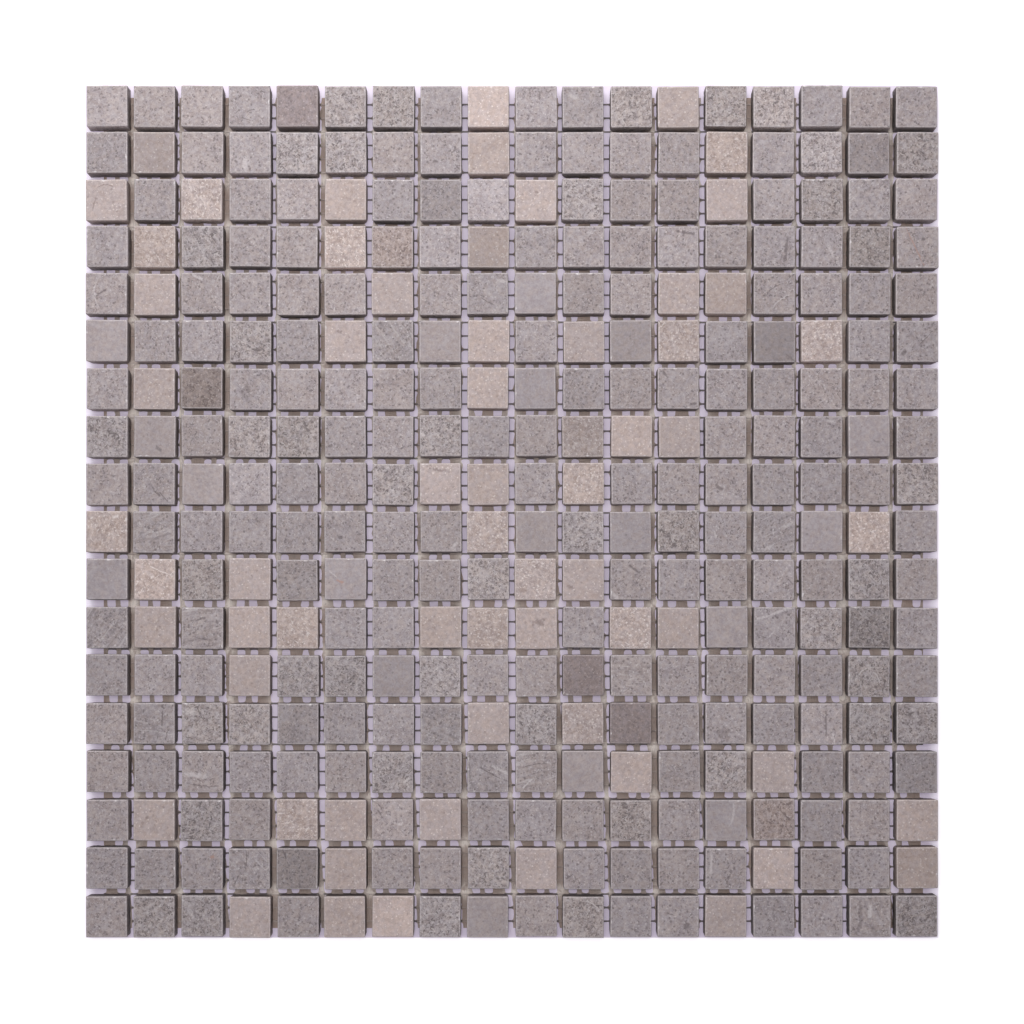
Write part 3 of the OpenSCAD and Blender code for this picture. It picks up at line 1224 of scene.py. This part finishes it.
@dataclass
class NetBand:
    """One band of the net: flat yarns up the sheet, thin yarns over them, and glue where they cross."""

    number: int
    finish: bpy.types.Material
    joints: JointGrid
    pattern: NetPattern = field(default_factory=NetPattern)
    fillet: float = 0.7

    def node_name(self) -> str:
        """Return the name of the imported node."""
        return f"net_band_{self.number:02d}"

    def build(self) -> bpy.types.Object:
        """Lay the band.

        Returns:
            The piece that stands for the node.
        """
        low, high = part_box(self.node_name())
        bottom, top = low.y / MM, high.y / MM
        crosses = round((top - bottom) / self.pattern.cross_pitch)
        solid = bmesh.new()
        layers = {
            "fibre_at": solid.verts.layers.float_vector.new("fibre_at"),
            "soak": solid.verts.layers.float.new("soak"),
            "painted_thread_shade_share": solid.verts.layers.float.new("painted_thread_shade_share"),
            "corner": solid.verts.layers.float.new("corner"),
        }
        for middle, width, soak in self.pattern.uprights():
            self._lay_upright(solid, layers, middle, width, soak, bottom, crosses)
        for cross in range(crosses):
            y = bottom + (cross + 0.5) * self.pattern.cross_pitch
            self._lay_thread(solid, layers, y)
        mesh = bpy.data.meshes.new(f"net_{self.number:02d}_yarns")
        solid.to_mesh(mesh)
        solid.free()
        mesh.materials.append(self.finish)
        mesh.shade_smooth()
        mesh.set_sharp_from_angle(angle=math.radians(50))
        piece = bpy.data.objects.new(mesh.name, mesh)
        bpy.context.scene.collection.objects.link(piece)
        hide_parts(self.node_name())
        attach(piece, BODY)
        return piece

    def _flares(self) -> list[tuple[float, float]]:
        """List where an upright yarn's edge is measured in each cell.

        Returns:
            The distance from the cross yarn's middle, and the share of the fillet there.
        """
        edge = self.pattern.cross_yarn / 2
        rising = [(edge, 1.0), (edge + 0.35 * self.fillet, 0.24), (edge + self.fillet, 0.0)]
        return [(-away, share) for away, share in reversed(rising)] + rising

    def _lay_upright(
        self, solid: Solid, layers: Layers, middle: float, width: float, soak: float,
        bottom: float, crosses: int,
    ) -> None:
        """Lay one yarn up the band, with rounded glue in the corners of the openings.

        Args:
            solid: The mesh of the band.
            layers: The values that the finish reads.
            middle: The yarn's middle where nothing has strayed.
            width: Its width.
            soak: How much glue it holds.
            bottom: The band's lower edge.
            crosses: Number of cross yarns in the band.
        """
        pattern = self.pattern
        stations = [(bottom, 0.0)]
        for cross in range(crosses):
            y = bottom + (cross + 0.5) * pattern.cross_pitch
            stations += [(y + away, share) for away, share in self._flares()]
            stations.append((y + pattern.cross_pitch / 2, 0.0))
        columns = 4 if width > 2 else 3
        rows: list[list[bmesh.types.BMVert]] = []
        for y, share in stations:
            rows.append(self._section(solid, layers, middle, width, soak, y, share, columns))
        rows = [row for row in rows if row]
        for under, over in zip(rows, rows[1:]):
            for index in range(len(under)):
                after = (index + 1) % len(under)
                solid.faces.new((under[index], under[after], over[after], over[index]))
        if rows:
            solid.faces.new(rows[0][::-1])
            solid.faces.new(rows[-1])

    def _section(
        self, solid: Solid, layers: Layers, middle: float, width: float, soak: float,
        y: float, share: float, columns: int,
    ) -> list[bmesh.types.BMVert]:
        """Set the corners of an upright yarn at one height.

        Args:
            solid: The mesh of the band.
            layers: The values that the finish reads.
            middle: The yarn's middle where nothing has strayed.
            width: Its width.
            soak: How much glue it holds.
            y: The height up the sheet.
            share: Share of the glue fillet here.
            columns: Number of points across its top.

        Returns:
            The corners, or none where the yarn is outside the net.
        """
        pattern = self.pattern
        here = middle + pattern.stray_at(y)
        edges = []
        for sign in (-1.0, 1.0):
            wander = noise.noise(Vector((middle * 0.37, y * 0.16, sign * 3.1)))
            glue = self.fillet * (1.0 + 0.7 * noise.noise(Vector((middle * 0.9, y * 0.21, sign * 7.7))))
            pool = max(0.0, noise.noise(Vector((middle * 0.53, y * 0.33, sign * 5.3))) - 0.12)
            fray = noise.noise(Vector((middle * 0.71, y * 0.8, sign * 9.1)))
            reach = width / 2 * (1.0 + 0.12 * wander) + share * max(0.3, glue) + 1.1 * pool + 0.22 * fray
            edges.append(min(max(here + sign * reach, pattern.left), pattern.right()))
        if edges[1] - edges[0] < 0.05:
            return []
        ring = []
        for index in range(columns):
            across = index / (columns - 1)
            x = edges[0] + (edges[1] - edges[0]) * across
            dome = 0.07 + 0.13 * math.sqrt(max(0.0, 1.0 - (2 * across - 1) ** 2))
            ring.append((x, dome))
        ring += [(edges[1], 0.0), (edges[0], 0.0)]
        made = []
        for x, z in ring:
            corner = solid.verts.new((x * MM, y * MM, z * MM))
            corner[layers["fibre_at"]] = (x - here + middle * 3.7, y, z)
            corner[layers["soak"]] = soak
            corner[layers["corner"]] = self.joints.corner_at(x, y)
            made.append(corner)
        return made

    def _thread_stations(self, y: float) -> list[tuple[float, float]]:
        """List the places along a thin yarn, and how much painted shade darkens it there.

        Args:
            y: Its height up the sheet.

        Returns:
            The places from left to right, each 0 where a yarn lies under it and 1 over an opening.
        """
        pattern = self.pattern
        stations = []
        ended = pattern.left
        for middle, width, _ in pattern.uprights():
            here = middle + pattern.stray_at(y)
            start, end = here - width / 2, here + width / 2
            stations += [((ended + start) / 2, 1.0), (start - 0.15, 1.0)]
            stations += [(start + 0.1, 0.0), (end - 0.1, 0.0)]
            stations.append((end + 0.15, 1.0))
            ended = end
        return [spot for spot in stations if pattern.left < spot[0] < pattern.right()]

    def _lay_thread(self, solid: Solid, layers: Layers, y: float) -> None:
        """Lay one thin yarn across the band.

        Args:
            solid: The mesh of the band.
            layers: The values that the finish reads.
            y: Its height up the sheet.
        """
        pattern = self.pattern
        stations = self._thread_stations(y)
        stations = [(pattern.left, stations[0][1])] + stations + [(pattern.right(), stations[-1][1])]
        rings = []
        for x, painted_thread_shade_share in stations:
            sway = 0.08 * noise.noise(Vector((x * 0.11, y, 1.3)))
            half = pattern.cross_yarn / 2 * (1.0 + 0.2 * noise.noise(Vector((x * 0.4, y, 5.9))))
            ring = []
            for dy, dz in ((-half, 0.0), (half, 0.0), (0.55 * half, 1.0), (-0.55 * half, 1.0)):
                z = pattern.upright_thick + dz * pattern.cross_thick
                corner = solid.verts.new((x * MM, (y + sway + dy) * MM, z * MM))
                corner[layers["fibre_at"]] = (dy + y * 3.7, x, dz)
                corner[layers["soak"]] = 0.25
                corner[layers["painted_thread_shade_share"]] = painted_thread_shade_share
                corner[layers["corner"]] = self.joints.corner_at(x, y)
                ring.append(corner)
            rings.append(ring)
        for under, over in zip(rings, rings[1:]):
            for side in range(4):
                after = (side + 1) % 4
                solid.faces.new((under[side], over[side], over[after], under[after]))
        solid.faces.new(rings[0])
        solid.faces.new(rings[-1][::-1])


@dataclass(frozen=True)
class FloorFinish:
    """Plain pale floor, which shows white to the camera, and under the sheet glows faintly lavender to it,
    painted light in the joints, more near the sheet's left and right sides.

    The camera sees the sheet's honed faces stand out a little over the floor, so the floor counts as hidden
    up to where their edges fall on it.
    """

    name: str = "Pale_floor"
    paint: Colour = (0.84, 0.775, 0.87)
    painted_glow_under_sheet: Colour = (0.12, 0.098, 0.138)
    painted_glow_at_joint_ends: Colour = (0.32, 0.30, 0.34)
    beside_sheet: Colour = (0.66, 0.66, 0.66)
    far_away: Colour = (1.0, 1.0, 1.0)
    hidden_half_m: float = 0.1535
    hidden_middle_m: float = 0.0005

    def material(self) -> bpy.types.Material:
        """Build the finish.

        Returns:
            The finished material.
        """
        graph = NodeGraph(bpy.data.materials.new(self.name))
        place = graph.node("ShaderNodeSeparateXYZ")
        graph.feed(place.inputs[0], graph.node("ShaderNodeNewGeometry").outputs["Position"])
        across = graph.math("ABSOLUTE", place.outputs[0])
        along = graph.math("ABSOLUTE", graph.math("SUBTRACT", place.outputs[1], self.hidden_middle_m))
        outside = graph.math("SUBTRACT", graph.math("MAXIMUM", across, along), self.hidden_half_m)
        # Under the sheet the floor glows faintly lavender to the camera, painted light in the joints, and
        # more towards the sheet's left and right sides, painted light where the joints' open ends let light
        # in. Beyond the sheet it shows white as a plain backdrop.
        ends = graph.step(graph.math("SUBTRACT", across, self.hidden_half_m), -0.0045, -0.0005)
        glow = graph.mix(ends, self.painted_glow_under_sheet, self.painted_glow_at_joint_ends)
        glow = graph.mix(graph.step(outside, -0.0003, 0.0003), glow, self.beside_sheet)
        glow = graph.mix(graph.step(outside, 0.03, 0.5), glow, self.far_away)
        seen = graph.node("ShaderNodeLightPath").outputs["Is Camera Ray"]
        shine = graph.node("ShaderNodeEmission")
        graph.feed(shine.inputs["Color"], glow)
        graph.feed(shine.inputs["Strength"], seen)
        matt = graph.node("ShaderNodeBsdfDiffuse")
        matt.inputs["Color"].default_value = (*self.paint, 1.0)
        both = graph.node("ShaderNodeAddShader")
        graph.feed(both.inputs[0], matt.outputs[0])
        graph.feed(both.inputs[1], shine.outputs[0])
        out = graph.node("ShaderNodeOutputMaterial")
        graph.feed(out.inputs["Surface"], both.outputs[0])
        return graph.owner


@dataclass(frozen=True)
class Softbox:
    """A soft square lamp that is aimed at the middle of the sheet."""

    name: str
    at_m: tuple[float, float, float]
    size_m: float
    watts: float

    def hang(self) -> None:
        """Hang the lamp."""
        lamp = bpy.data.lights.new(self.name, "AREA")
        lamp.shape = "SQUARE"
        lamp.size = self.size_m
        lamp.energy = self.watts
        stand = bpy.data.objects.new(self.name, lamp)
        stand.location = self.at_m
        stand.rotation_euler = (-Vector(self.at_m)).to_track_quat("-Z", "Y").to_euler()
        stand.visible_camera = False
        bpy.context.scene.collection.objects.link(stand)


@dataclass
class Studio:
    """The floor, the light and the camera."""

    floor_half_m: float = 3.0
    floor_drop_m: float = 0.00005
    window: Softbox = Softbox("window_side_lamp", (-0.065, 0.355, 0.24), 0.45, 1.37)
    overhead: Softbox = Softbox("overhead_lamp", (-0.06, 0.01, 0.89), 0.4, 3.4)
    fill: float = 0.17
    camera_at_m: tuple[float, float, float] = (0.0, -0.0493, 0.860)
    lens: float = 83.95
    shift_y: float = 0.1346

    def build(self) -> None:
        """Set the studio up."""
        self._floor()
        self.window.hang()
        self.overhead.hang()
        self._world()
        self._camera()
        bpy.context.scene.view_settings.view_transform = "Standard"

    def _floor(self) -> None:
        """Lay the floor just under the net."""
        solid = bmesh.new()
        half = self.floor_half_m
        bmesh.ops.create_grid(solid, x_segments=1, y_segments=1, size=half)
        for corner in solid.verts:
            corner.co.z = -self.floor_drop_m
        mesh = bpy.data.meshes.new("floor")
        solid.to_mesh(mesh)
        solid.free()
        mesh.materials.append(FloorFinish().material())
        floor = bpy.data.objects.new("floor", mesh)
        bpy.context.scene.collection.objects.link(floor)
        floor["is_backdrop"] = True

    def _world(self) -> None:
        """Fill the shadows, and show white behind everything."""
        world = bpy.data.worlds.new("studio")
        bpy.context.scene.world = world
        graph = NodeGraph(world)
        path = graph.node("ShaderNodeLightPath")
        direct = graph.math("MAXIMUM", path.outputs["Is Camera Ray"], path.outputs["Is Glossy Ray"])
        direct = graph.math("MAXIMUM", direct, path.outputs["Is Transmission Ray"])
        soft = graph.node("ShaderNodeBackground")
        soft.inputs["Strength"].default_value = self.fill
        white = graph.node("ShaderNodeBackground")
        both = graph.node("ShaderNodeMixShader")
        soft.inputs["Color"].default_value = (0.99, 0.93, 1.09, 1.0)
        white.inputs["Color"].default_value = (1.0, 1.0, 1.0, 1.0)
        graph.feed(both.inputs[0], direct)
        graph.feed(both.inputs[1], soft.outputs[0])
        graph.feed(both.inputs[2], white.outputs[0])
        out = graph.node("ShaderNodeOutputWorld")
        graph.feed(out.inputs["Surface"], both.outputs[0])

    def _camera(self) -> None:
        """Hang the camera above the sheet, looking straight down."""
        lens = bpy.data.cameras.new("camera")
        lens.lens = self.lens
        lens.sensor_width = 36.0
        lens.shift_y = self.shift_y
        lens.clip_start = 0.01
        camera = bpy.data.objects.new("camera", lens)
        camera.location = self.camera_at_m
        bpy.context.scene.collection.objects.link(camera)
        bpy.context.scene.camera = camera


def write_sizes() -> None:
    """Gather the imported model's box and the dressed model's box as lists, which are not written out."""
    boxes = {"cad": CAD_BOX, "visual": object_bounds()}
    plain = {name: [list(corner) for corner in box] for name, box in boxes.items()}


def report(piece: bpy.types.Object) -> None:
    """Log one finished piece."""
    piece.data.calc_loop_triangles()
    LOG.info("%s: %d triangles", piece.name, len(piece.data.loop_triangles))


def main() -> None:
    """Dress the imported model."""
    logging.basicConfig(level=logging.INFO, format="%(name)s: %(message)s")
    stones = {kind: stone.material() for kind, stone in STONES.items()}
    yarn = GluedYarn().material()
    courses = sorted(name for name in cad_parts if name.startswith("chip_row_"))
    bands = sorted(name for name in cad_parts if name.startswith("net_band_"))
    for number in range(1, len(courses) + 1):
        report(ChipCourse(number, stones).build())
    joints = JointGrid.read(len(courses))
    for number in range(1, len(bands) + 1):
        report(NetBand(number, yarn, joints).build())
    Studio().build()
    write_sizes()


if __name__ == "__main__":
    main()
